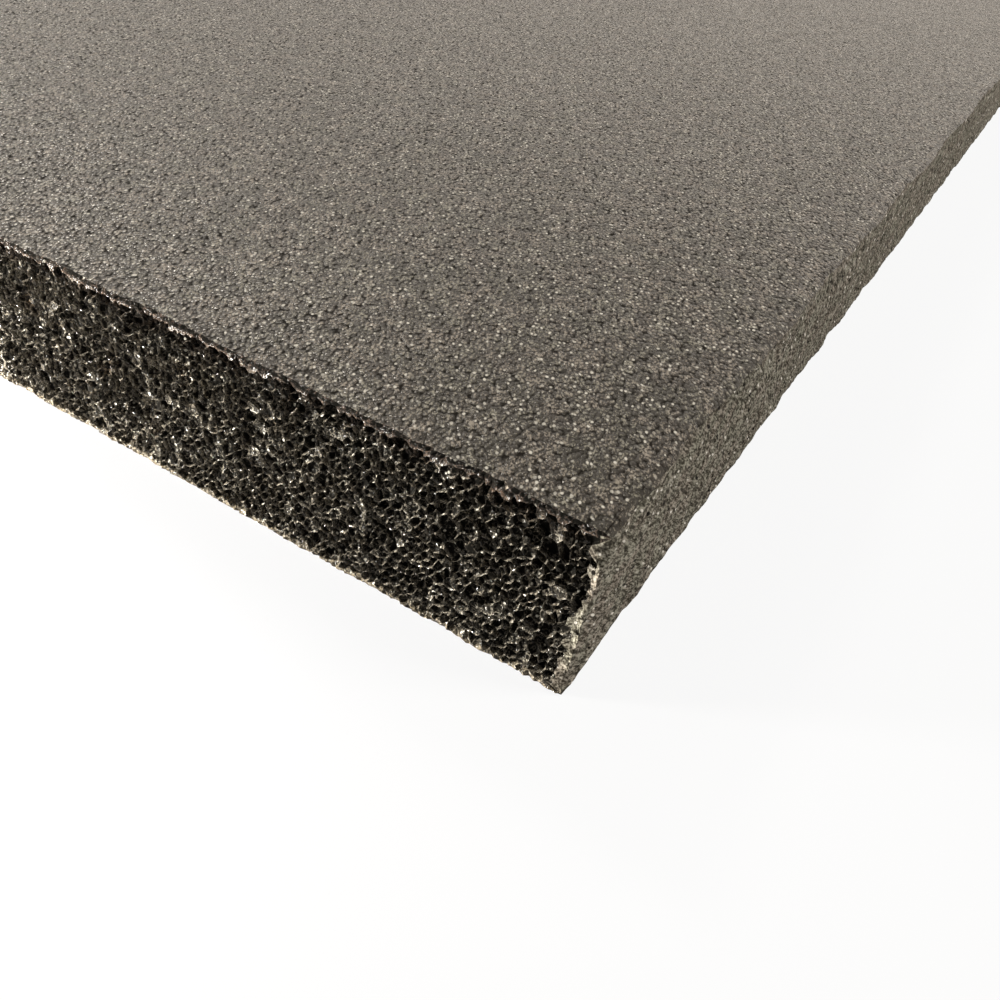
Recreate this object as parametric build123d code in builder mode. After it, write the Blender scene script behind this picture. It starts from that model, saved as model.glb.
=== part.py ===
"""Foam sheet: one slab of closed-cell polyethylene foam, lying flat.

The sheet is a single piece. Its two large faces are the flat skins. The long
sides are trimmed, with rounded rims that run the whole length, and the two
ends are sawn off, with a smaller softness all round each of them.

Frame: +Z up, +X along the length, origin at the centre of the resting face.
Millimetres.
"""

from build123d import *
import os

# Overall size of the sheet
LENGTH = 600.0
WIDTH = 300.0
THICKNESS = 30.0

# Softness of the cut foam
SIDE_RIM_RADIUS = 0.8  # rims between a large face and a trimmed long side
END_RIM_RADIUS = 0.4  # edges all round a sawn end, upright corners included

with BuildPart() as foam_sheet:
    with BuildSketch(Plane.YZ.offset(-LENGTH / 2)):
        with Locations((0, THICKNESS / 2)):
            RectangleRounded(WIDTH, THICKNESS, SIDE_RIM_RADIUS)
    extrude(amount=LENGTH)

    sawn_ends = foam_sheet.faces().filter_by(Axis.X)
    fillet(sawn_ends.edges(), END_RIM_RADIUS)

foam_sheet.part.label = "foam_sheet"

os.makedirs("parts", exist_ok=True)
export_step(foam_sheet.part, "parts/foam_sheet.step")
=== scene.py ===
"""Dresses the foam sheet: open cut cells, pebbled skins, studio and camera.

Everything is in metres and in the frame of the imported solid: +X along the
sheet, +Y across it, +Z up, with the origin in the middle of the resting face.
Only the heights of a finish's relief are in millimetres.
"""

from __future__ import annotations

import logging
import math
import random
from dataclasses import dataclass, field
from enum import Enum, IntEnum

import bmesh
import bpy
from mathutils import Matrix, Vector, noise

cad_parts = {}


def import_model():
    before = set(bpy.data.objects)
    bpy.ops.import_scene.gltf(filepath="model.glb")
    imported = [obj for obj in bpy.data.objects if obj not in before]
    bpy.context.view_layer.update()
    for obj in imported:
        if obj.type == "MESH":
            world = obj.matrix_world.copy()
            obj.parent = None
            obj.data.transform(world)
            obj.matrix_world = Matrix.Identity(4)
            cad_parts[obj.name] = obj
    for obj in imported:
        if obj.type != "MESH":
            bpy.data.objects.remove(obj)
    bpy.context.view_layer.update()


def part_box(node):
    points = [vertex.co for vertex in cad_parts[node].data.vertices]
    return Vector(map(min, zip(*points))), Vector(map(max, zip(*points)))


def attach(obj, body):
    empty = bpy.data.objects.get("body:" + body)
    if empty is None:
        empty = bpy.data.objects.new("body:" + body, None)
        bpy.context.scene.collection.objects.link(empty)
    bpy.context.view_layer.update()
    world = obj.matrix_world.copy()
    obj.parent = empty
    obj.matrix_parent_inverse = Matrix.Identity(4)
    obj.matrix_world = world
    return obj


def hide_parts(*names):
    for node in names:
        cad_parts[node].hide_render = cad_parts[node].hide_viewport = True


LOG = logging.getLogger("foam_sheet")

MM = 0.001
NODE = "foam_sheet"
BODY = "root"
# Vertex layer of painted shade: how dark the finishes paint a point for lying deep in a cell, at a rim
# or in a pit, from 0 to 1.
PAINTED_SHADE_LAYER = "cell_painted_shade"
WARM = (1.0, 0.965, 0.91)  # colour of the lamps
WHITE = (1.0, 1.0, 1.0)
# MIDDLE is a marker value in the painted-shade layer.
MIDDLE = -1.0  # depth that marks the middle of a cell which isn't sunk yet
TOUCHING = 0.01 * MM  # points closer than this lie at one place
LEVEL = 0.5  # a face whose normal rises more than this is part of a skin
PLAIN = 1.0  # detail of noise whose patches are all about one size
GRITTY = 2.0  # detail of noise with a finer layer in it
NOISE_MIDDLE = 0.5  # mean of soft noise
NOISE_LOW = 0.35  # soft noise seldom falls below this
NOISE_HIGH = 0.65  # soft noise seldom rises above this
TINT_LOW = 0.38  # noise up to which only the first tint shows
TINT_HIGH = 0.62  # noise from which only the second tint shows

Colour = tuple[float, float, float]
Stretch = tuple[float, float, float]  # one factor for each axis


def linear(red: int, green: int, blue: int) -> Colour:
    """Turn a display colour into the linear one that shaders take.

    Args:
        red: Red from 0 to 255.
        green: Green from 0 to 255.
        blue: Blue from 0 to 255.

    Returns:
        The linear colour.
    """
    def channel(value: int) -> float:
        """Undo the display curve for one channel.

        Args:
            value: Level from 0 to 255.

        Returns:
            The linear level from 0 to 1.
        """
        share = value / 255
        if share <= 0.04045:
            return share / 12.92
        return ((share + 0.055) / 1.055) ** 2.4

    return channel(red), channel(green), channel(blue)


class Part(IntEnum):
    """Material slots of the sheet's mesh."""

    SKIN = 0
    SAWN = 1
    TRIMMED = 2


class Maths(Enum):
    """Operations of a Math node that the finishes use."""

    ADD = "ADD"
    SUBTRACT = "SUBTRACT"
    MULTIPLY = "MULTIPLY"
    DIVIDE = "DIVIDE"
    POWER = "POWER"
    MINIMUM = "MINIMUM"
    MAXIMUM = "MAXIMUM"


class Measure(Enum):
    """Distance that a field of random cells gives."""

    TO_MIDDLE = "F1"
    TO_EDGE = "DISTANCE_TO_EDGE"


@dataclass(frozen=True)
class Signal:
    """A shader value that can be written into sums and products."""

    graph: Graph
    socket: bpy.types.NodeSocket

    def _join(self, operation: Maths, first: Signal | float, second: Signal | float) -> Signal:
        """Add one Math node for an operation on two values."""
        return self.graph.add("ShaderNodeMath", {"operation": operation.value}, {0: first, 1: second})[0]

    def __add__(self, other: Signal | float) -> Signal:
        """Sum of two values."""
        return self._join(Maths.ADD, self, other)

    def __sub__(self, other: Signal | float) -> Signal:
        """Difference of two values."""
        return self._join(Maths.SUBTRACT, self, other)

    def __rsub__(self, other: float) -> Signal:
        """A number less a value."""
        return self._join(Maths.SUBTRACT, other, self)

    def __mul__(self, other: Signal | float) -> Signal:
        """Product of two values."""
        return self._join(Maths.MULTIPLY, self, other)

    def __rmul__(self, other: float) -> Signal:
        """Product of a number and a value."""
        return self._join(Maths.MULTIPLY, other, self)

    def __truediv__(self, other: Signal | float) -> Signal:
        """Quotient of two values."""
        return self._join(Maths.DIVIDE, self, other)

    def __pow__(self, other: Signal | float) -> Signal:
        """A value raised to a power."""
        return self._join(Maths.POWER, self, other)

    def at_most(self, other: Signal | float) -> Signal:
        """The smaller of two values."""
        return self._join(Maths.MINIMUM, self, other)

    def at_least(self, other: Signal | float) -> Signal:
        """The larger of two values."""
        return self._join(Maths.MAXIMUM, self, other)


@dataclass
class Graph:
    """Node tree of one material or world, with short ways to add to it."""

    owner: bpy.types.Material | bpy.types.World

    @classmethod
    def start(cls, name: str) -> Graph:
        """Make an empty node material.

        Args:
            name: Name of the material.

        Returns:
            The graph of the new material.
        """
        material = bpy.data.materials.new(name)
        material.use_nodes = True
        material.node_tree.nodes.clear()
        return cls(material)

    def add(
        self,
        kind: str,
        settings: dict[str, object] | None = None,
        inputs: dict[int | str, object] | None = None,
    ) -> list[Signal]:
        """Add one node.

        Args:
            kind: Type of the node.
            settings: Properties that are set first. "stops" fills a colour ramp.
            inputs: Values or signals by the name or number of the socket.

        Returns:
            One signal for each output of the node.
        """
        tree = self.owner.node_tree
        node = tree.nodes.new(kind)
        for name, value in (settings or {}).items():
            if name == "stops":
                self._fill_ramp(node.color_ramp, value)
            else:
                setattr(node, name, value)
        for key, value in (inputs or {}).items():
            if isinstance(value, Signal):
                tree.links.new(value.socket, node.inputs[key])
            else:
                node.inputs[key].default_value = value
        return [Signal(self, socket) for socket in node.outputs]

    @staticmethod
    def _fill_ramp(ramp: bpy.types.ColorRamp, stops: list[tuple[float, Colour]]) -> None:
        """Give a colour ramp its stops.

        Args:
            ramp: The ramp to fill.
            stops: Places from 0 to 1, each with its colour.
        """
        while len(ramp.elements) < len(stops):
            ramp.elements.new(1.0)
        for element, (place, colour) in zip(ramp.elements, stops):
            element.position = place
            element.color = (*colour, 1.0)

    def place(self) -> Signal:
        """Position on the object, in metres."""
        return self.add("ShaderNodeTexCoord")[3]

    def stretch(self, place: Signal, factors: Stretch) -> Signal:
        """Position with each axis multiplied by a factor."""
        return self.add("ShaderNodeVectorMath", {"operation": "MULTIPLY"}, {0: place, 1: factors})[0]

    def turn(self, place: Signal, about: str, angle: float) -> Signal:
        """Position turned about one axis of the object."""
        inputs = {"Vector": place, "Angle": angle}
        return self.add("ShaderNodeVectorRotate", {"rotation_type": about}, inputs)[0]

    def axis(self, place: Signal, index: int) -> Signal:
        """One coordinate of a position: 0 along, 1 across, 2 up."""
        return self.add("ShaderNodeSeparateXYZ", {}, {0: place})[index]

    def warp(self, place: Signal, size: float, reach: float) -> Signal:
        """Position pushed about by soft noise.

        Args:
            place: Position signal.
            size: Width of one push, in metres.
            reach: Strength of the push, in metres.

        Returns:
            The uneven position.
        """
        noise_inputs = {"Vector": place, "Scale": 1 / size, "Detail": PLAIN}
        push = self.add("ShaderNodeTexNoise", {}, noise_inputs)[1]
        inputs = {0: push, 1: (reach, reach, reach), 2: place}
        return self.add("ShaderNodeVectorMath", {"operation": "MULTIPLY_ADD"}, inputs)[0]

    def grain(self, place: Signal, size: float, detail: float = PLAIN, roughness: float = 0.5) -> Signal:
        """Soft random values from 0 to 1.

        Args:
            place: Position signal.
            size: Width of one patch, in metres.
            detail: PLAIN or GRITTY.
            roughness: Strength of the finer layer.

        Returns:
            The noise.
        """
        inputs = {"Vector": place, "Scale": 1 / size, "Detail": detail, "Roughness": roughness}
        return self.add("ShaderNodeTexNoise", {"noise_dimensions": "3D"}, inputs)[0]

    def bubbles(
        self,
        place: Signal,
        size: float,
        measure: Measure = Measure.TO_MIDDLE,
    ) -> tuple[Signal, Signal]:
        """Round cells of random place.

        Args:
            place: Position signal.
            size: Distance between cells, in metres.
            measure: Distance to give.

        Returns:
            The distance in shares of size, and a random colour for each cell.
        """
        settings = {"voronoi_dimensions": "3D", "feature": measure.value}
        found = self.add("ShaderNodeTexVoronoi", settings, {"Vector": place, "Scale": 1 / size})
        return found[0], found[1]

    def span(
        self,
        value: Signal,
        low: float,
        high: float,
        to_low: float = 0.0,
        to_high: float = 1.0,
    ) -> Signal:
        """Stretch a range of values onto another, held at its ends.

        Args:
            value: Signal to stretch.
            low: Value that gives to_low.
            high: Value that gives to_high.
            to_low: Result at low.
            to_high: Result at high.

        Returns:
            The stretched signal.
        """
        settings = {"interpolation_type": "SMOOTHSTEP", "clamp": True}
        inputs = {"Value": value, "From Min": low, "From Max": high, "To Min": to_low, "To Max": to_high}
        return self.add("ShaderNodeMapRange", settings, inputs)[0]

    def blend(
        self,
        share: Signal | float,
        first: Signal | Colour,
        second: Signal | Colour,
        mode: str = "MIX",
    ) -> Signal:
        """Mix two colours.

        Args:
            share: How much of the second colour shows.
            first: First colour.
            second: Second colour.
            mode: Blend mode.

        Returns:
            The mixed colour.
        """
        first_value = first if isinstance(first, Signal) else (*first, 1.0)
        second_value = second if isinstance(second, Signal) else (*second, 1.0)
        settings = {"data_type": "RGBA", "blend_type": mode, "clamp_factor": True}
        return self.add("ShaderNodeMix", settings, {0: share, 6: first_value, 7: second_value})[2]

    def tinted(self, tone: Signal, hue: Signal, first: Colour, second: Colour) -> Signal:
        """Let a colour drift between two faint tints.

        Args:
            tone: Colour to tint.
            hue: Soft noise that chooses the tint.
            first: Tint where the noise is low.
            second: Tint where the noise is high.

        Returns:
            The tinted colour.
        """
        tint = self.blend(self.span(hue, TINT_LOW, TINT_HIGH), first, second)
        return self.blend(1.0, tone, tint, "MULTIPLY")

    def specks(self, place: Signal, size: float, reach: float, share: float) -> Signal:
        """Scattered round spots.

        Args:
            place: Position signal.
            size: Distance between the places where a spot may sit, in metres.
            reach: Radius of a spot in shares of size.
            share: Share of the places that have a spot, some of them faint.

        Returns:
            One in the middle of a spot, zero outside.
        """
        distance, draw = self.bubbles(place, size)
        lucky = self.add("ShaderNodeSeparateColor", {}, {0: draw})[0]
        chosen = self.span(lucky, 1 - share, 1.0)
        return self.span(distance, reach / 2, reach, 1.0, 0.0) * chosen

    def domes(self, place: Signal, size: float, reach: float) -> Signal:
        """Round domes that meet in creases.

        Args:
            place: Position signal.
            size: Distance between domes, in metres.
            reach: Radius of a dome in shares of size.

        Returns:
            Height from 0 to 1.
        """
        distance, _ = self.bubbles(place, size)
        return (1 - (distance / reach) ** 2.0).at_least(0.0)

    def seams(self, place: Signal, size: float, thickness: float) -> Signal:
        """Net of thin lines between random cells.

        Args:
            place: Position signal.
            size: Distance between cells, in metres.
            thickness: Half the width of a line, in metres.

        Returns:
            One in the middle of a line, zero beside it.
        """
        gap, _ = self.bubbles(place, size, Measure.TO_EDGE)
        return self.span(gap, 0.0, thickness / size, 1.0, 0.0)

    def finish(
        self,
        colour: Signal,
        roughness: Signal,
        height: Signal,
        matt_share: Signal,
        specular: float,
        sheen: Colour = WHITE,
    ) -> bpy.types.Material:
        """Close the graph with a glossy shader and a matt one.

        Args:
            colour: Colour of the surface.
            roughness: Roughness of the glossy shader.
            height: Height of the relief, in millimetres.
            matt_share: Share of the matt shader, from 0 to 1.
            specular: Strength of the gloss.
            sheen: Tint of the gloss.

        Returns:
            The finished material.
        """
        relief = self.add("ShaderNodeBump", {}, {"Height": height, "Strength": 1.0, "Distance": MM})[0]
        inputs = {
            "Base Color": colour,
            "Roughness": roughness,
            "Specular IOR Level": specular,
            "Specular Tint": (*sheen, 1.0),
            "Normal": relief,
        }
        glossy = self.add("ShaderNodeBsdfPrincipled", {}, inputs)[0]
        matt = self.add("ShaderNodeBsdfDiffuse", {}, {"Color": colour})[0]
        mixed = self.add("ShaderNodeMixShader", {}, {0: matt_share, 1: glossy, 2: matt})[0]
        self.add("ShaderNodeOutputMaterial", {}, {"Surface": mixed})
        return self.owner


@dataclass(frozen=True)
class SkinFinish:
    """Satin skin of the large faces, pebbled by the cells right under it."""

    half_width: float
    name: str = "foam skin"
    dark: Colour = linear(33, 30, 26)
    middle: Colour = linear(42, 39, 33)
    pale: Colour = linear(170, 161, 146)
    green_tint: Colour = (0.965, 1.0, 0.95)
    pink_tint: Colour = (1.0, 0.96, 0.945)
    grain_turn: float = math.radians(-25)
    grain_way: Stretch = (0.64, 1.0, 1.0)
    warp: float = 1.2 * MM
    warp_reach: float = 0.4 * MM
    cell: float = 0.6 * MM
    cell_reach: float = 1.15
    dome_height: float = 0.24
    mottle: float = 0.34 * MM
    grit_share: float = 0.6
    clump: float = 1.7 * MM
    # weight of the dome height in the tone: painted shade in the creases, painted highlight on the tops
    dome_shade_weight: float = 0.42
    mottle_weight: float = 0.9
    clump_weight: float = 0.3
    hue_weight: float = 0.08
    darkest: float = 0.73
    palest: float = 1.24
    middle_at: float = 0.55
    # Painted highlight: pale specks in the colour stand in for the lamps' glints on the pebbles.
    painted_glint: Colour = linear(238, 231, 215)
    painted_glint_cell: float = 0.78 * MM
    painted_glint_reach: float = 0.38
    painted_glint_share: float = 0.5
    crinkle: float = 0.5 * MM
    crinkle_height: float = 0.025
    lean: float = 2.6 * MM
    lean_height: float = 0.14
    swell: float = 30 * MM
    swell_height: float = 0.25
    patch: float = 4.5 * MM
    rim_start: float = 0.4 * MM
    rim_end: float = 2.2 * MM
    rim_relief: float = 0.4
    rim_bulge: float = 0.75
    smoothest: float = 0.14
    roughest: float = 0.36
    specular: float = 0.39
    sheen: Colour = (1.0, 0.92, 0.82)
    crease_top: float = 0.4
    crown_foot: float = 0.85
    most_matt: float = 0.9
    least_matt: float = 0.1

    def material(self) -> bpy.types.Material:
        """Build the node material of the skin.

        Returns:
            The finished material.
        """
        graph = Graph.start(self.name)
        place = graph.place()
        turned = graph.turn(place, "Z_AXIS", self.grain_turn)
        drawn = graph.stretch(graph.warp(turned, self.warp, self.warp_reach), self.grain_way)

        dome = graph.domes(drawn, self.cell, self.cell_reach)
        mottle = graph.grain(drawn, self.mottle, GRITTY, self.grit_share)
        clump = graph.grain(drawn, self.clump)
        crinkle = graph.grain(place, self.crinkle)
        lean = graph.grain(place, self.lean)
        swell = graph.grain(place, self.swell)
        across = graph.axis(place, 1)
        to_side = self.half_width - across.at_least(0 - across)
        uneven = to_side + (lean - NOISE_MIDDLE) * self.rim_end
        fade = graph.span(uneven, self.rim_start, self.rim_end, self.rim_relief)
        # The painted glints, faded towards the trimmed sides along with the relief.
        painted_glint = graph.specks(drawn, self.painted_glint_cell, self.painted_glint_reach, self.painted_glint_share) * fade
        height = (
            dome * self.dome_height * fade
            + crinkle * self.crinkle_height
            + lean * self.lean_height
            + swell * self.swell_height
        )

        # The dome height also steers the tone: creases painted darker and pebble tops painted lighter, a
        # painted shade and a painted highlight. Mottle, clump and hue are the skin's own uneven tone.
        bulge = dome * fade + self.rim_bulge * (1 - fade)
        hue = graph.grain(place, self.patch)
        level = (
            bulge * self.dome_shade_weight
            + mottle * self.mottle_weight
            + clump * self.clump_weight
            + hue * self.hue_weight
        )
        shade = graph.span(level, self.darkest, self.palest)
        stops = [(0.0, self.dark), (self.middle_at, self.middle), (1.0, self.pale)]
        tone = graph.add("ShaderNodeValToRGB", {"stops": stops}, {"Fac": shade})[0]
        tinted = graph.tinted(tone, hue, self.green_tint, self.pink_tint)
        colour = graph.blend(painted_glint, tinted, self.painted_glint)
        luck = graph.axis(graph.bubbles(drawn, self.cell)[1], 0)
        gloss = graph.span(luck, 0.0, 1.0, self.smoothest, self.roughest)
        crease = graph.span(bulge, self.crease_top, self.crown_foot, self.most_matt, self.least_matt)
        return graph.finish(colour, gloss, height, crease, self.specular, self.sheen)


@dataclass(frozen=True)
class SawnFinish:
    """Open cells of a sawn end: torn, shining films round black hollows, whose black is painted shade,
    with painted glints on the films.
    """

    top: float
    name: str = "sawn foam"
    # near-black of the painted shade in the hollows, also the dark end of the grit
    dark_grit_and_hollow_shade: Colour = linear(18, 17, 15)
    wall: Colour = linear(147, 139, 124)
    brown: Colour = linear(116, 98, 76)
    # tan of the painted bounce light at the foot of the end
    bounce_tan: Colour = linear(150, 134, 106)
    # dark brown that the top band of the end runs to
    crown_brown: Colour = linear(72, 53, 43)
    crown: float = 5.0 * MM
    crown_share: float = 0.9
    crown_matt: float = 0.6
    fringe: float = 2.0 * MM
    # strength of the painted bounce light at the very foot
    bounce_share: float = 0.6
    # Painted highlight: pale specks in the colour stand in for glints on the films. There are fewer in
    # the painted hollow shade and in the top band.
    painted_glint: Colour = linear(238, 232, 216)
    painted_glint_cell: float = 0.8 * MM
    painted_glint_reach: float = 0.36
    painted_glint_share: float = 0.36
    painted_glint_loss: float = 0.4
    thread: float = 0.62 * MM
    thread_width: float = 0.11 * MM
    thread_height: float = 0.16
    thread_cover: float = 0.7
    torn_patch: float = 1.6
    torn_low: float = 0.42
    torn_high: float = 0.58
    film: float = 0.55 * MM
    film_height: float = 0.30
    film_shade: float = 0.7
    fine: float = 0.22 * MM
    fine_height: float = 0.06
    grit_share: float = 0.6
    brown_low: float = 0.55
    brown_high: float = 0.85
    grit_low: float = -0.2
    grit_high: float = 0.25
    darkest_at: float = 0.7
    warp: float = 0.9 * MM
    warp_reach: float = 0.5 * MM
    patch: float = 6 * MM
    smoothest: float = 0.10
    roughest: float = 0.26
    specular: float = 0.5

    def material(self) -> bpy.types.Material:
        """Build the node material of the sawn ends.

        Returns:
            The finished material.
        """
        graph = Graph.start(self.name)
        place = graph.place()
        # depth reads the layer of painted shade that the mesh carries, which is high deep in the cells
        depth = graph.add("ShaderNodeAttribute", {"attribute_name": PAINTED_SHADE_LAYER})[2]

        film = graph.grain(place, self.film, GRITTY, self.grit_share)
        fine = graph.grain(place, self.fine, GRITTY, self.grit_share)
        tear = graph.grain(place, self.thread * self.torn_patch)
        torn = graph.span(tear, self.torn_low, self.torn_high)
        net = graph.seams(graph.warp(place, self.warp, self.warp_reach), self.thread, self.thread_width)
        thread = net * torn
        hue = graph.grain(place, self.patch, GRITTY)
        rim = graph.blend(graph.span(hue, self.brown_low, self.brown_high), self.wall, self.brown)
        up = graph.axis(place, 2) + (hue - NOISE_MIDDLE) * self.fringe
        # Painted light: a tan band at the foot of the end stands in for light bounced up from the table.
        # It also thins the painted hollow shade there.
        painted_bounce = graph.span(up, 0.0, self.fringe, self.bounce_share, 0.0)
        # The top band of the end, under the skin, runs to a dark brown, with less gloss and fewer
        # painted glints.
        crown = graph.span(up, self.top - self.crown, self.top, 0.0, self.crown_share)
        edge = graph.blend(crown, graph.blend(painted_bounce, rim, self.bounce_tan), self.crown_brown)
        grit = graph.span(fine + film - 2 * NOISE_MIDDLE, self.grit_low, self.grit_high)
        mottled = graph.blend(grit, self.dark_grit_and_hollow_shade, edge)
        # Painted shade: the colour runs to near-black where the layer marks a point as deep. The film
        # noise stirs it, and the threads show through it.
        sunk = depth + film * self.film_shade - NOISE_MIDDLE * self.film_shade
        shade = graph.span(sunk, 0.0, self.darkest_at)
        dark_grit_and_hollow_shade = (shade * (1 - painted_bounce) - thread * self.thread_cover).at_least(0.0)
        # The painted glints, where the surface is also glossy.
        painted_glint_spots = graph.specks(place, self.painted_glint_cell, self.painted_glint_reach, self.painted_glint_share)
        painted_glint = painted_glint_spots * (1 - dark_grit_and_hollow_shade * self.painted_glint_loss) * (1 - crown * self.crown_matt)
        colour = graph.blend(painted_glint, graph.blend(dark_grit_and_hollow_shade, mottled, self.dark_grit_and_hollow_shade), self.painted_glint)
        gloss = graph.span(film, NOISE_LOW, NOISE_HIGH, self.smoothest, self.roughest)
        height = film * self.film_height + fine * self.fine_height + thread * self.thread_height
        matt = (dark_grit_and_hollow_shade.at_least(crown * self.crown_matt) - painted_glint).at_least(0.0)
        return graph.finish(colour, gloss, height, matt, self.specular)


@dataclass(frozen=True)
class TrimmedFinish:
    """Long side that the knife has smeared: fine speckle and pinholes, no open cells."""

    name: str = "trimmed foam"
    # near-black of the painted shade in pinholes and pits
    pinhole_shade: Colour = linear(20, 18, 15)
    dull: Colour = linear(54, 50, 43)
    middle: Colour = linear(105, 99, 88)
    pale: Colour = linear(166, 159, 146)
    green_tint: Colour = (0.965, 1.0, 0.965)
    pink_tint: Colour = (1.0, 0.965, 0.955)
    knife_lean: float = math.radians(-38)
    knife_way: Stretch = (0.25, 1.0, 1.0)
    speckle: float = 0.6 * MM
    speckle_height: float = 0.14
    speckle_weight: float = 0.8
    grit_share: float = 0.65
    fine: float = 0.3 * MM
    fine_height: float = 0.05
    fine_weight: float = 0.4
    cell: float = 0.9 * MM
    cell_reach: float = 1.05
    cell_height: float = 0.12
    cell_weight: float = 0.12
    darkest: float = 0.5
    palest: float = 0.86
    middle_at: float = 0.5
    pore_cell: float = 1.3 * MM
    pore_reach: float = 0.28
    pore_share: float = 0.7
    pinhole_shade_strength: float = 1.6
    # Painted highlight: pale specks in the colour stand in for glints on the smeared side.
    painted_glint: Colour = linear(245, 238, 224)
    painted_glint_cell: float = 0.9 * MM
    painted_glint_reach: float = 0.3
    painted_glint_share: float = 0.6
    gloss_share: float = 0.12
    patch: float = 4.5 * MM
    smoothest: float = 0.22
    roughest: float = 0.40
    specular: float = 0.35

    def material(self) -> bpy.types.Material:
        """Build the node material of the trimmed sides.

        Returns:
            The finished material.
        """
        graph = Graph.start(self.name)
        place = graph.place()
        drawn = graph.stretch(graph.turn(place, "Y_AXIS", self.knife_lean), self.knife_way)
        # depth reads the layer of painted shade that the mesh carries
        depth = graph.add("ShaderNodeAttribute", {"attribute_name": PAINTED_SHADE_LAYER})[2]

        speckle = graph.grain(drawn, self.speckle, GRITTY, self.grit_share)
        fine = graph.grain(drawn, self.fine)
        dome = graph.domes(drawn, self.cell, self.cell_reach)
        pinhole_shade = graph.specks(drawn, self.pore_cell, self.pore_reach, self.pore_share)
        painted_glint = graph.specks(drawn, self.painted_glint_cell, self.painted_glint_reach, self.painted_glint_share)

        level = speckle * self.speckle_weight + fine * self.fine_weight + dome * self.cell_weight
        shade = graph.span(level, self.darkest, self.palest)
        stops = [(0.0, self.dull), (self.middle_at, self.middle), (1.0, self.pale)]
        tone = graph.add("ShaderNodeValToRGB", {"stops": stops}, {"Fac": shade})[0]
        hue = graph.grain(place, self.patch)
        tinted = graph.tinted(tone, hue, self.green_tint, self.pink_tint)
        # Painted shade: the pinholes, and the pits and smeared strip marked in the shade layer, are
        # painted dark.
        painted_shade_share = (pinhole_shade * self.pinhole_shade_strength + depth * depth).at_most(1.0)
        colour = graph.blend(painted_shade_share, graph.blend(painted_glint, tinted, self.painted_glint), self.pinhole_shade)
        height = (
            speckle * self.speckle_height
            + fine * self.fine_height
            + dome * self.cell_height
            - pinhole_shade * self.cell_height
        )
        gloss = graph.span(speckle, NOISE_LOW, NOISE_HIGH, self.roughest, self.smoothest)
        matt = 1 - (painted_glint + self.gloss_share).at_most(1.0)
        return graph.finish(colour, gloss, height, matt, self.specular)


class Opening(Enum):
    """How far a cell of a sawn end is open: its share, depth and the painted shade of its floor."""

    # share, depth, painted shade of the floor
    FILMED = (0.03, 0.20 * MM, 0.6)
    HALF = (0.27, 0.45 * MM, 0.8)
    DEEP = (0.40, 0.80 * MM, 0.9)
    DEEPEST = (0.30, 1.20 * MM, 1.0)

    def __init__(self, share: float, depth: float, painted_floor_shade: float) -> None:
        """Keep the three numbers by name.

        Args:
            share: Share of the cells that are open this far.
            depth: How far they are sunk, in metres.
            painted_floor_shade: Painted shade of their floors in the shade layer, from 0 to 1.
        """
        self.share = share
        self.depth = depth
        self.painted_floor_shade = painted_floor_shade


def is_upright(edge: bmesh.types.BMEdge) -> bool:
    """Whether an edge runs straight up."""
    return (edge.verts[0].co.xy - edge.verts[1].co.xy).length < TOUCHING


def place_of(item: bmesh.types.BMVert | bmesh.types.BMFace) -> tuple[float, ...]:
    """Place of a point or of a face's middle, to put them in a settled order."""
    return tuple(item.co if isinstance(item, bmesh.types.BMVert) else item.calc_center_median())


def parts_round(vert: bmesh.types.BMVert) -> set[int]:
    """Material slots of the faces that meet at a point."""
    return {face.material_index for face in vert.link_faces}


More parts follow.
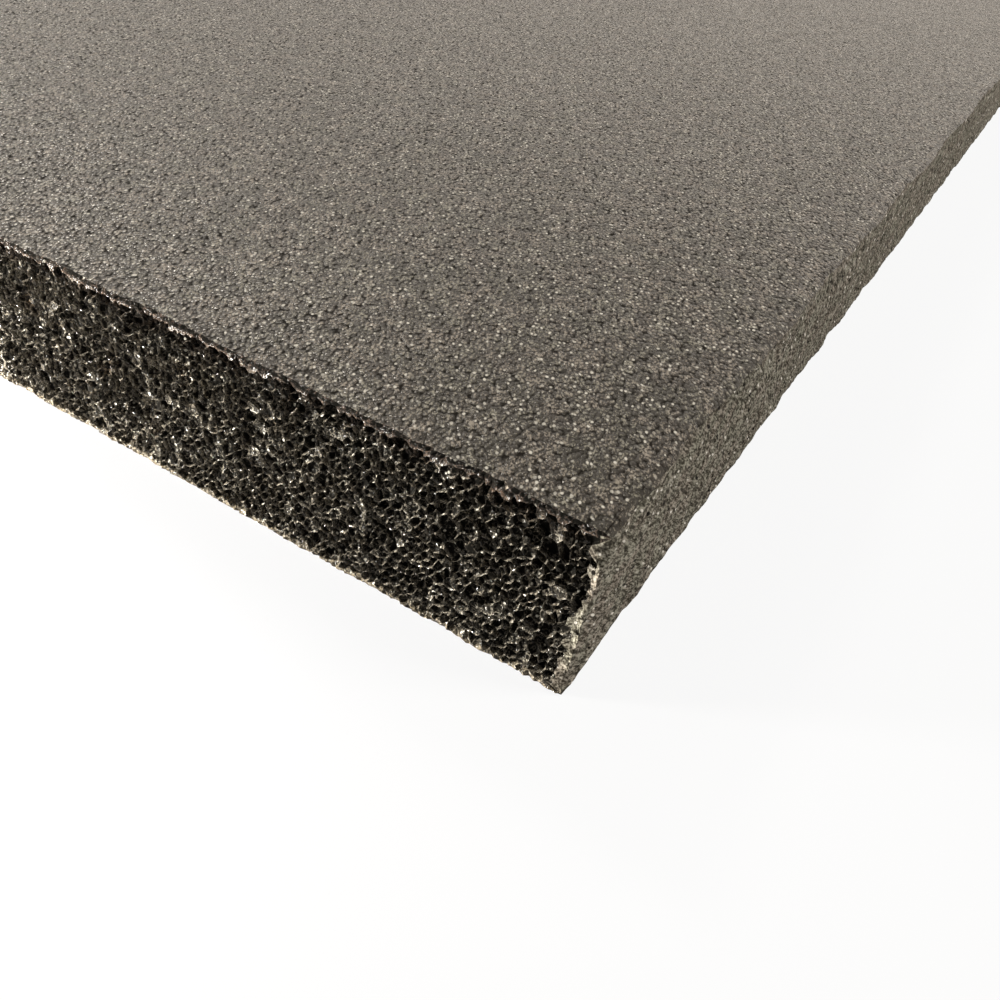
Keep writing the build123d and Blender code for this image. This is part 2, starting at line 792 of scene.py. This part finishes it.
@dataclass
class FoamSheet:
    """The slab: two flat skins, two sawn ends of open cells, two trimmed sides."""

    low: Vector
    high: Vector
    cell: float = 1.25 * MM
    panel: float = 12 * MM
    corner_radius: float = 0.5 * MM
    corner_steps: int = 2
    sharp_angle: float = math.radians(80)
    rim_radius: float = 0.35 * MM
    rim_shift: float = 0.3
    rim_depth: float = 0.45 * MM
    rim_slope: float = 0.8 * MM
    # painted shade of the rims where the skin meets a sawn end or nears a side
    rim_painted_shade: float = 0.95
    rim_rise: float = 0.9
    # painted shade of the smeared strip where a trimmed side meets a sawn end
    lip_painted_shade: float = 0.8
    smear: float = 0.6 * MM
    smear_spread: float = 0.03
    smeared_corner: float = 3.2 * MM
    lattice_jitter: float = 0.36
    merged_share: float = 0.22
    ripple: float = 0.6 * MM
    ripple_level: float = 0.3
    ripple_length: float = 7 * MM
    sway: float = 0.8 * MM
    sway_length: float = 65 * MM
    raggedness: float = 0.45 * MM
    smear_raggedness: float = 0.2 * MM
    torn_share: float = 0.2
    torn_depth: float = 0.5 * MM
    # painted shade of torn, sunk walls
    torn_painted_shade: float = 0.55
    wall_share: float = 0.13
    bowl_share: float = 0.3
    # share of a floor's painted shade at the foot of its walls
    bowl_foot_painted_shade: float = 0.8
    near_reach: float = 118 * MM
    relief_reach: float = 350 * MM
    relief: float = 0.35 * MM
    pit_share: float = 0.07
    pit_depth: float = 0.6 * MM
    seed: int = 7
    chance: random.Random = field(init=False, repr=False)

    def __post_init__(self) -> None:
        """Start the seeded random numbers."""
        self.chance = random.Random(self.seed)

    @property
    def size(self) -> Vector:
        """Length, width and thickness."""
        return self.high - self.low

    def build(self, finishes: list[bpy.types.Material]) -> bpy.types.Object:
        """Make the sheet's object.

        Args:
            finishes: Finishes in the order of Part.

        Returns:
            The finished object.
        """
        mesh = bmesh.new()
        # The layer of painted shade.
        depth = mesh.verts.layers.float.new(PAINTED_SHADE_LAYER)
        self._slab(mesh)
        self._wall_lattice(mesh)
        self._cells(mesh, depth)
        self._open_rims(mesh, depth)
        self._fray(mesh, depth)
        self._hollow(mesh, depth)
        self._soften(mesh)

        data = bpy.data.meshes.new("foam sheet")
        mesh.to_mesh(data)
        mesh.free()
        for finish in finishes:
            data.materials.append(finish)
        sheet = bpy.data.objects.new("foam-sheet", data)
        bpy.context.scene.collection.objects.link(sheet)
        triangles = sum(len(face.vertices) - 2 for face in data.polygons)
        LOG.info("foam sheet: %d triangles", triangles)
        return sheet

    def _slab(self, mesh: bmesh.types.BMesh) -> None:
        """Make the closed slab with panelled skins and a finely divided rim.

        Args:
            mesh: Empty mesh to fill.
        """
        size = self.size
        centre = (self.low + self.high) / 2
        grid = bmesh.ops.create_grid(
            mesh,
            x_segments=round(size.x / self.panel),
            y_segments=round(size.y / self.panel),
            size=0.5,
        )
        bmesh.ops.scale(mesh, vec=(size.x, size.y, 1.0), verts=grid["verts"])
        bmesh.ops.translate(mesh, vec=(centre.x, centre.y, self.low.z), verts=grid["verts"])
        bmesh.ops.bevel(
            mesh,
            geom=[vert for vert in mesh.verts if len(vert.link_edges) == 2],
            offset=self.corner_radius,
            offset_type="OFFSET",
            segments=self.corner_steps,
            profile=0.5,
            affect="VERTICES",
            material=-1,
        )
        for edge in [edge for edge in mesh.edges if edge.is_boundary]:
            cuts = round(edge.calc_length() / self.cell) - 1
            if cuts > 0:
                bmesh.ops.subdivide_edges(mesh, edges=[edge], cuts=cuts)
        lifted = bmesh.ops.extrude_face_region(mesh, geom=list(mesh.faces), use_keep_orig=True)
        top = [item for item in lifted["geom"] if isinstance(item, bmesh.types.BMVert)]
        bmesh.ops.translate(mesh, vec=(0.0, 0.0, size.z), verts=top)
        bmesh.ops.recalc_face_normals(mesh, faces=list(mesh.faces))
        bmesh.ops.bevel(
            mesh,
            geom=[edge for edge in mesh.edges if edge.calc_face_angle() > self.sharp_angle],
            offset=self.rim_radius,
            offset_type="OFFSET",
            segments=1,
            profile=0.5,
            affect="EDGES",
            material=-1,
        )

    def _is_inner(self, vert: bmesh.types.BMVert) -> bool:
        """Whether a point lies on a wall and clear of both rims."""
        clear = self.rim_radius + self.cell / 4
        return self.low.z + clear < vert.co.z < self.high.z - clear

    def _gaps(self, point: Vector) -> tuple[float, float]:
        """Measure how far a point is from the walls.

        Args:
            point: Point on or in the sheet.

        Returns:
            Distance to the nearer sawn end and to the nearer trimmed side.
        """
        to_end = min(point.x - self.low.x, self.high.x - point.x)
        to_side = min(point.y - self.low.y, self.high.y - point.y)
        return to_end, to_side

    def _outward(self, point: Vector) -> Vector:
        """Level direction that leads straight out of the nearest wall.

        Args:
            point: Point on or near a wall.

        Returns:
            Unit vector with no height.
        """
        to_end, to_side = self._gaps(point)
        radius = self.corner_radius
        if to_end < radius and to_side < radius:
            core_x = math.copysign(self.size.x / 2 - radius, point.x)
            core_y = math.copysign(self.size.y / 2 - radius, point.y)
            return Vector((point.x - core_x, point.y - core_y, 0.0)).normalized()
        if to_end < to_side:
            return Vector((math.copysign(1.0, point.x), 0.0, 0.0))
        return Vector((0.0, math.copysign(1.0, point.y), 0.0))

    def _part_of(self, face: bmesh.types.BMFace) -> Part:
        """Choose the finish of a face of the plain slab.

        Args:
            face: The face.

        Returns:
            The part of the sheet that it belongs to.
        """
        if abs(face.normal.z) > LEVEL:
            return Part.SKIN
        place = face.calc_center_median()
        _, to_side = self._gaps(place)
        to_top = self.high.z - place.z
        in_strip = to_side < self.smear + self.smear_spread * to_top
        in_corner = to_side + to_top < self.smeared_corner
        return Part.TRIMMED if in_strip or in_corner else Part.SAWN

    def _wall_lattice(self, mesh: bmesh.types.BMesh) -> None:
        """Divide the walls into an uneven lattice of triangles.

        Args:
            mesh: The slab.
        """
        tall = self.size.z / 2
        uprights = [edge for edge in mesh.edges if edge.calc_length() > tall and is_upright(edge)]
        rows = round((self.size.z - 2 * self.rim_radius) / self.cell)
        bmesh.ops.subdivide_edges(mesh, edges=uprights, cuts=rows - 1, use_grid_fill=True)
        mesh.normal_update()
        reach = self.lattice_jitter * self.cell
        lattice = list(filter(self._is_inner, mesh.verts))
        for vert in lattice:
            outward = self._outward(vert.co)
            steadiness = abs(abs(outward.x) - abs(outward.y))
            along = Vector((-outward.y, outward.x, 0.0))
            vert.co += along * self.chance.uniform(-reach, reach) * steadiness
            vert.co.z += self.chance.uniform(-reach, reach)
        merged = [vert for vert in lattice if self.chance.random() < self.merged_share]
        bmesh.ops.dissolve_verts(mesh, verts=merged)
        mesh.normal_update()
        walls = [face for face in mesh.faces if abs(face.normal.z) < LEVEL]
        bmesh.ops.triangulate(mesh, faces=walls, quad_method="SHORT_EDGE")

    def _cells(self, mesh: bmesh.types.BMesh, shade_layer: bmesh.types.BMLayerItem) -> None:
        """Turn the lattice into cells, each a fan of faces round one lattice point.

        Args:
            mesh: The slab with its lattice.
            shade_layer: Layer of painted shade, how dark a point is painted for lying deep, from 0 to 1.
        """
        mesh.normal_update()
        for face in mesh.faces:
            face.material_index = self._part_of(face)
        for vert in filter(self._is_inner, mesh.verts):
            vert[shade_layer] = MIDDLE
        between = [
            edge
            for edge in mesh.edges
            if all(face.material_index != Part.SKIN for face in edge.link_faces)
        ]
        walls = [face for face in mesh.faces if face.material_index != Part.SKIN]
        # The new cell corners get no painted shade.
        for vert in bmesh.ops.poke(mesh, faces=sorted(walls, key=place_of))["verts"]:
            vert[shade_layer] = 0.0
        bmesh.ops.rotate_edges(mesh, edges=between)

    def _draw_opening(self) -> Opening:
        """Choose how far a cell of a sawn end is open."""
        return self.chance.choices(list(Opening), [opening.share for opening in Opening])[0]

    def _open_rims(self, mesh: bmesh.types.BMesh, shade_layer: bmesh.types.BMLayerItem) -> None:
        """Let half cells bite into the skins along the sawn ends.

        Args:
            mesh: The slab with its cells.
            shade_layer: Layer of painted shade, how dark a point is painted for lying deep, from 0 to 1.
        """
        rims = [
            edge
            for edge in mesh.edges
            if {face.material_index for face in edge.link_faces} == {Part.SKIN, Part.SAWN}
        ]
        reach = self.rim_shift * self.cell
        for vert in sorted(mesh.verts, key=place_of):
            if parts_round(vert) == {Part.SKIN, Part.SAWN}:
                vert.co.y += self.chance.uniform(-reach, reach)
                vert.co -= self._outward(vert.co) * self.chance.uniform(0.0, self.rim_depth)
                # Painted shade: the bitten rim is painted as dark as a cell floor.
                vert[shade_layer] = self._draw_opening().painted_floor_shade
        split = bmesh.ops.subdivide_edges(mesh, edges=rims, cuts=1, use_single_edge=True)
        added = [item for item in split["geom_inner"] if isinstance(item, bmesh.types.BMVert)]
        # The split rim points take the rim's painted shade.
        for vert in sorted(added, key=place_of):
            vert.co.x = self.low.x if vert.co.x < 0 else self.high.x
            vert.co.y += self.chance.uniform(-reach, reach) / 2
            vert[shade_layer] = self.rim_painted_shade

    def _knife_pull(self, point: Vector) -> float:
        """How far the knife strayed into the sheet at a place.

        Args:
            point: Point on a wall.

        Returns:
            Distance in metres.
        """
        rise = (point.z - self.low.z) / self.size.z
        turns = (point.x - self.low.x) / self.sway_length
        sway = self.sway * ((1 - math.cos(math.tau * turns)) / 2) * rise
        ripple = self.ripple * max(0.0, self.ripple_level + noise.noise(point / self.ripple_length))
        return sway * self._outward(point).y ** 2 + ripple

    def _side_share(self, point: Vector) -> float:
        """One beside a trimmed side, falling to zero across the smeared corner."""
        _, to_side = self._gaps(point)
        return min(1.0, max(0.0, 1 - (to_side - self.corner_radius) / self.smeared_corner))

    def _lip_shade(self, point: Vector) -> float:
        """Painted shade of smeared foam: some at the ends, none along the sides."""
        to_end, to_side = self._gaps(point)
        return self.lip_painted_shade * min(1.0, max(0.0, (to_side - to_end) / self.corner_radius))

    def _fray(self, mesh: bmesh.types.BMesh, shade_layer: bmesh.types.BMLayerItem) -> None:
        """Let the knife stray and tear the cell walls unevenly.

        Args:
            mesh: The slab with its cells.
            shade_layer: Layer of painted shade, how dark a point is painted.
        """
        for vert in sorted(mesh.verts, key=place_of):
            if min(self._gaps(vert.co)) > self.panel / 2:
                continue
            outward = self._outward(vert.co)
            parts = parts_round(vert)
            pull = self._knife_pull(vert.co)
            if Part.SAWN in parts:
                pull += self.raggedness * self.chance.random() ** 2
                is_wall = parts == {Part.SAWN} and vert[shade_layer] != MIDDLE
                # Torn walls sink and are painted darker: painted shade.
                if is_wall and self.chance.random() < self.torn_share:
                    pull += self.torn_depth
                    vert[shade_layer] = self.torn_painted_shade
            elif Part.TRIMMED in parts:
                pull += self.smear_raggedness * self.chance.random()
            else:
                # Rim points of the skin take the rim's painted shade, which shows on the end and side
                # faces that share them.
                side_share = self._side_share(vert.co)
                pull += self.raggedness * self.chance.random() * outward.x**2 * (1 - side_share)
                vert.co.y -= math.copysign(self.rim_slope * side_share, vert.co.y)
                vert[shade_layer] = self.rim_painted_shade
            # Painted shade on the smeared strip.
            if Part.TRIMMED in parts and vert[shade_layer] != MIDDLE:
                vert[shade_layer] = self._lip_shade(vert.co)
            vert.co -= outward * pull

    def _hollow(self, mesh: bmesh.types.BMesh, shade_layer: bmesh.types.BMLayerItem) -> None:
        """Sink the cells, with steep walls round the near corner.

        Args:
            mesh: The slab with its cells.
            shade_layer: Layer of painted shade, how dark a point is painted.
        """
        corner = self.low.xy
        levelled: list[bmesh.types.BMVert] = []
        middles = [vert for vert in mesh.verts if vert[shade_layer] == MIDDLE]
        for vert in sorted(middles, key=place_of):
            distance = (vert.co.xy - corner).length
            if Part.TRIMMED in parts_round(vert):
                for face in vert.link_faces:
                    face.material_index = Part.TRIMMED
                    # The smeared faces take the strip's painted shade.
                    for lip in face.verts:
                        lip[shade_layer] = MIDDLE if lip[shade_layer] == MIDDLE else self._lip_shade(lip.co)
                if distance > self.relief_reach:
                    levelled.append(vert)
                    continue
                # Pits sink and are painted black: painted shade.
                is_pit = self.chance.random() < self.pit_share
                sunk = self.pit_depth if is_pit else self.relief * self.chance.random()
                vert.co -= self._outward(vert.co) * sunk
                vert[shade_layer] = 1.0 if is_pit else self._lip_shade(vert.co)
            elif distance < self.near_reach:
                levelled.append(vert)
            else:
                # Far cells sink and take their opening's painted floor shade.
                opening = self._draw_opening()
                vert.co -= self._outward(vert.co) * opening.depth
                vert[shade_layer] = opening.painted_floor_shade
        bmesh.ops.dissolve_verts(mesh, verts=levelled)

        bowls: dict[Opening, list[bmesh.types.BMFace]] = {opening: [] for opening in Opening}
        for face in sorted(mesh.faces, key=place_of):
            if face.material_index == Part.SAWN and len(face.verts) > 3:
                bowls[self._draw_opening()].append(face)
        for opening, floors in bowls.items():
            self._open_bowls(mesh, floors, opening, shade_layer)

    def _open_bowls(
        self,
        mesh: bmesh.types.BMesh,
        floors: list[bmesh.types.BMFace],
        opening: Opening,
        shade_layer: bmesh.types.BMLayerItem,
    ) -> None:
        """Sink whole cell faces between thin walls and dish their floors.

        Args:
            mesh: The slab with its cells.
            floors: Faces of the cells.
            opening: How far these cells are open.
            shade_layer: Layer of painted shade, how dark a point is painted.
        """
        bmesh.ops.inset_individual(
            mesh,
            faces=floors,
            thickness=self.wall_share * self.cell,
            depth=-opening.depth,
            use_even_offset=True,
        )
        # Painted shade: the floors are painted dark, darkest in their middles.
        for face in floors:
            for vert in face.verts:
                vert[shade_layer] = opening.painted_floor_shade * self.bowl_foot_painted_shade
        middles = bmesh.ops.poke(mesh, faces=floors, offset=-self.bowl_share * opening.depth)["verts"]
        for vert in middles:
            vert[shade_layer] = opening.painted_floor_shade

    def _soften(self, mesh: bmesh.types.BMesh) -> None:
        """Hold all inside the box, and shade the trimmed sides and their rims as rounded.

        Args:
            mesh: The finished sheet.
        """
        for vert in mesh.verts:
            for axis, (least, most) in enumerate(zip(self.low, self.high)):
                vert.co[axis] = min(max(vert.co[axis], least), most)
        mesh.normal_update()
        for face in mesh.faces:
            rounded = face.material_index == Part.TRIMMED
            if face.material_index == Part.SKIN and abs(face.normal.z) < self.rim_rise:
                rounded = abs(self._outward(face.calc_center_median()).x) <= self.rim_rise
                face.material_index = Part.SKIN if rounded else Part.SAWN
            face.smooth = rounded


@dataclass(frozen=True)
class Viewpoint:
    """Camera close over the near corner of the sheet."""

    from_corner: Vector
    heading: float
    dip: float
    roll: float
    lens: float
    shift: tuple[float, float]
    nearest: float = 10 * MM
    farthest: float = 20.0

    def place(self, corner: Vector) -> None:
        """Put the camera in the scene.

        Args:
            corner: Foot of the near corner.
        """
        data = bpy.data.cameras.new("camera")
        data.lens = self.lens
        data.shift_x, data.shift_y = self.shift
        data.clip_start = self.nearest
        data.clip_end = self.farthest
        data.dof.use_dof = False
        camera = bpy.data.objects.new("camera", data)
        turn = Matrix.Rotation(self.heading - math.pi / 2, 3, "Z")
        tilt = Matrix.Rotation(math.pi / 2 - self.dip, 3, "X")
        lean = Matrix.Rotation(self.roll, 3, "Z")
        camera.rotation_euler = (turn @ tilt @ lean).to_euler()
        camera.location = corner + self.from_corner
        bpy.context.scene.collection.objects.link(camera)
        bpy.context.scene.camera = camera


@dataclass(frozen=True)
class SoftBox:
    """Square lamp that faces the near corner, from a place that may lie further along the end."""

    name: str
    azimuth: float  # degrees from +X towards +Y
    elevation: float  # degrees over the upper skin
    distance: float
    side: float
    power: float  # watts
    colour: Colour = WARM
    aside: float = 0.0  # shift along the end, in metres

    def place(self, target: Vector) -> None:
        """Put the lamp in the scene.

        Args:
            target: The near corner.
        """
        data = bpy.data.lights.new(self.name, "AREA")
        data.shape = "SQUARE"
        data.size = self.side
        data.energy = self.power
        data.color = self.colour
        lamp = bpy.data.objects.new(self.name, data)
        azimuth = math.radians(self.azimuth)
        elevation = math.radians(self.elevation)
        level = math.cos(elevation)
        way = Vector((level * math.cos(azimuth), level * math.sin(azimuth), math.sin(elevation)))
        arm = way * self.distance + Vector((0.0, self.aside, 0.0))
        lamp.location = target + arm
        lamp.rotation_euler = arm.to_track_quat("Z", "Y").to_euler()
        lamp.visible_camera = False
        bpy.context.scene.collection.objects.link(lamp)


@dataclass(frozen=True)
class Studio:
    """White table top, soft lamps and a plain surrounding."""

    table_side: float = 8.0
    table_colour: Colour = (0.86, 0.86, 0.86)
    table_glow: float = 0.88
    reflected: Colour = (1.0, 0.91, 0.82)
    ambient: float = 0.15
    lamps: tuple[SoftBox, ...] = (
        SoftBox("window", azimuth=-60, elevation=50, distance=2.2, side=0.6, power=25.0),
        SoftBox("far wall", azimuth=58, elevation=40, distance=2.6, side=0.4, power=17.5),
        SoftBox("far lamp", azimuth=38, elevation=42, distance=2.6, side=0.3, power=4.2),
        SoftBox("desk lamp", azimuth=160, elevation=-7, distance=0.12, side=0.03, power=2.1, aside=0.14),
    )

    def build(self, box: tuple[Vector, Vector]) -> bpy.types.Object:
        """Set up the table, the lamps and the surrounding.

        Args:
            box: Lowest and highest corner of the sheet.

        Returns:
            The table top.
        """
        low, high = box
        for lamp in self.lamps:
            lamp.place(Vector((low.x, low.y, high.z)))
        self._surrounding()
        return self._table(low.z)

    def _seen_directly(self, graph: Graph) -> tuple[Signal, Signal]:
        """How a plain white ground shows: to the eye and in reflections, which are a little warm.

        Args:
            graph: Nodes of the ground.

        Returns:
            One for rays from the camera, a mirror or glass, otherwise zero; and the colour they see.
        """
        path = graph.add("ShaderNodeLightPath")
        seen = {signal.socket.name: signal for signal in path}
        mirrored = seen["Is Glossy Ray"]
        share = (seen["Is Camera Ray"] + mirrored + seen["Is Transmission Ray"]).at_most(1.0)
        return share, graph.blend(mirrored, WHITE, self.reflected)

    def _surrounding(self) -> None:
        """White where it is seen, a faint even light elsewhere."""
        world = bpy.data.worlds.new("surrounding")
        world.use_nodes = True
        world.node_tree.nodes.clear()
        graph = Graph(world)
        seen, colour = self._seen_directly(graph)
        strength = seen * (1 - self.ambient) + self.ambient
        light = graph.add("ShaderNodeBackground", {}, {"Color": colour, "Strength": strength})[0]
        graph.add("ShaderNodeOutputWorld", {}, {"Surface": light})
        bpy.context.scene.world = world

    def _table(self, height: float) -> bpy.types.Object:
        """Make the white table top.

        Args:
            height: Level of the table top.

        Returns:
            The table top.
        """
        mesh = bmesh.new()
        bmesh.ops.create_grid(mesh, x_segments=1, y_segments=1, size=self.table_side / 2)
        bmesh.ops.translate(mesh, vec=(0.0, 0.0, height), verts=list(mesh.verts))
        data = bpy.data.meshes.new("table top")
        mesh.to_mesh(data)
        mesh.free()
        table = bpy.data.objects.new("table-top", data)
        bpy.context.scene.collection.objects.link(table)

        graph = Graph.start("white table")
        matt = graph.add("ShaderNodeBsdfDiffuse", {}, {"Color": (*self.table_colour, 1.0)})[0]
        seen, colour = self._seen_directly(graph)
        glow = graph.add("ShaderNodeEmission", {}, {"Color": colour, "Strength": 1.0})[0]
        mixed = graph.add("ShaderNodeMixShader", {}, {0: seen * self.table_glow, 1: matt, 2: glow})[0]
        graph.add("ShaderNodeOutputMaterial", {}, {"Surface": mixed})
        data.materials.append(graph.owner)
        return table


def main() -> None:
    """Build the camera, the sheet and the studio."""
    logging.basicConfig(level=logging.INFO, format="%(name)s: %(message)s")
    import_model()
    low, high = (Vector(corner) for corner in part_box(NODE))
    bpy.context.scene.view_settings.view_transform = "Standard"

    viewpoint = Viewpoint(
        from_corner=Vector((-76.5, -18.6, 93.1)) * MM,
        heading=math.radians(27.76),
        dip=math.radians(44.38),
        roll=math.radians(8.72),
        lens=30.6,
        shift=(0.06, 0.0865),
    )
    viewpoint.place(low)
    LOG.info("camera placed")

    finishes = [
        SkinFinish(half_width=high.y).material(),
        SawnFinish(top=high.z).material(),
        TrimmedFinish().material(),
    ]
    sheet = FoamSheet(low, high).build(finishes)
    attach(sheet, BODY)
    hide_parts(NODE)

    table = Studio().build((low, high))
    LOG.info("table, lamps and surrounding placed")


if __name__ == "__main__":
    main()
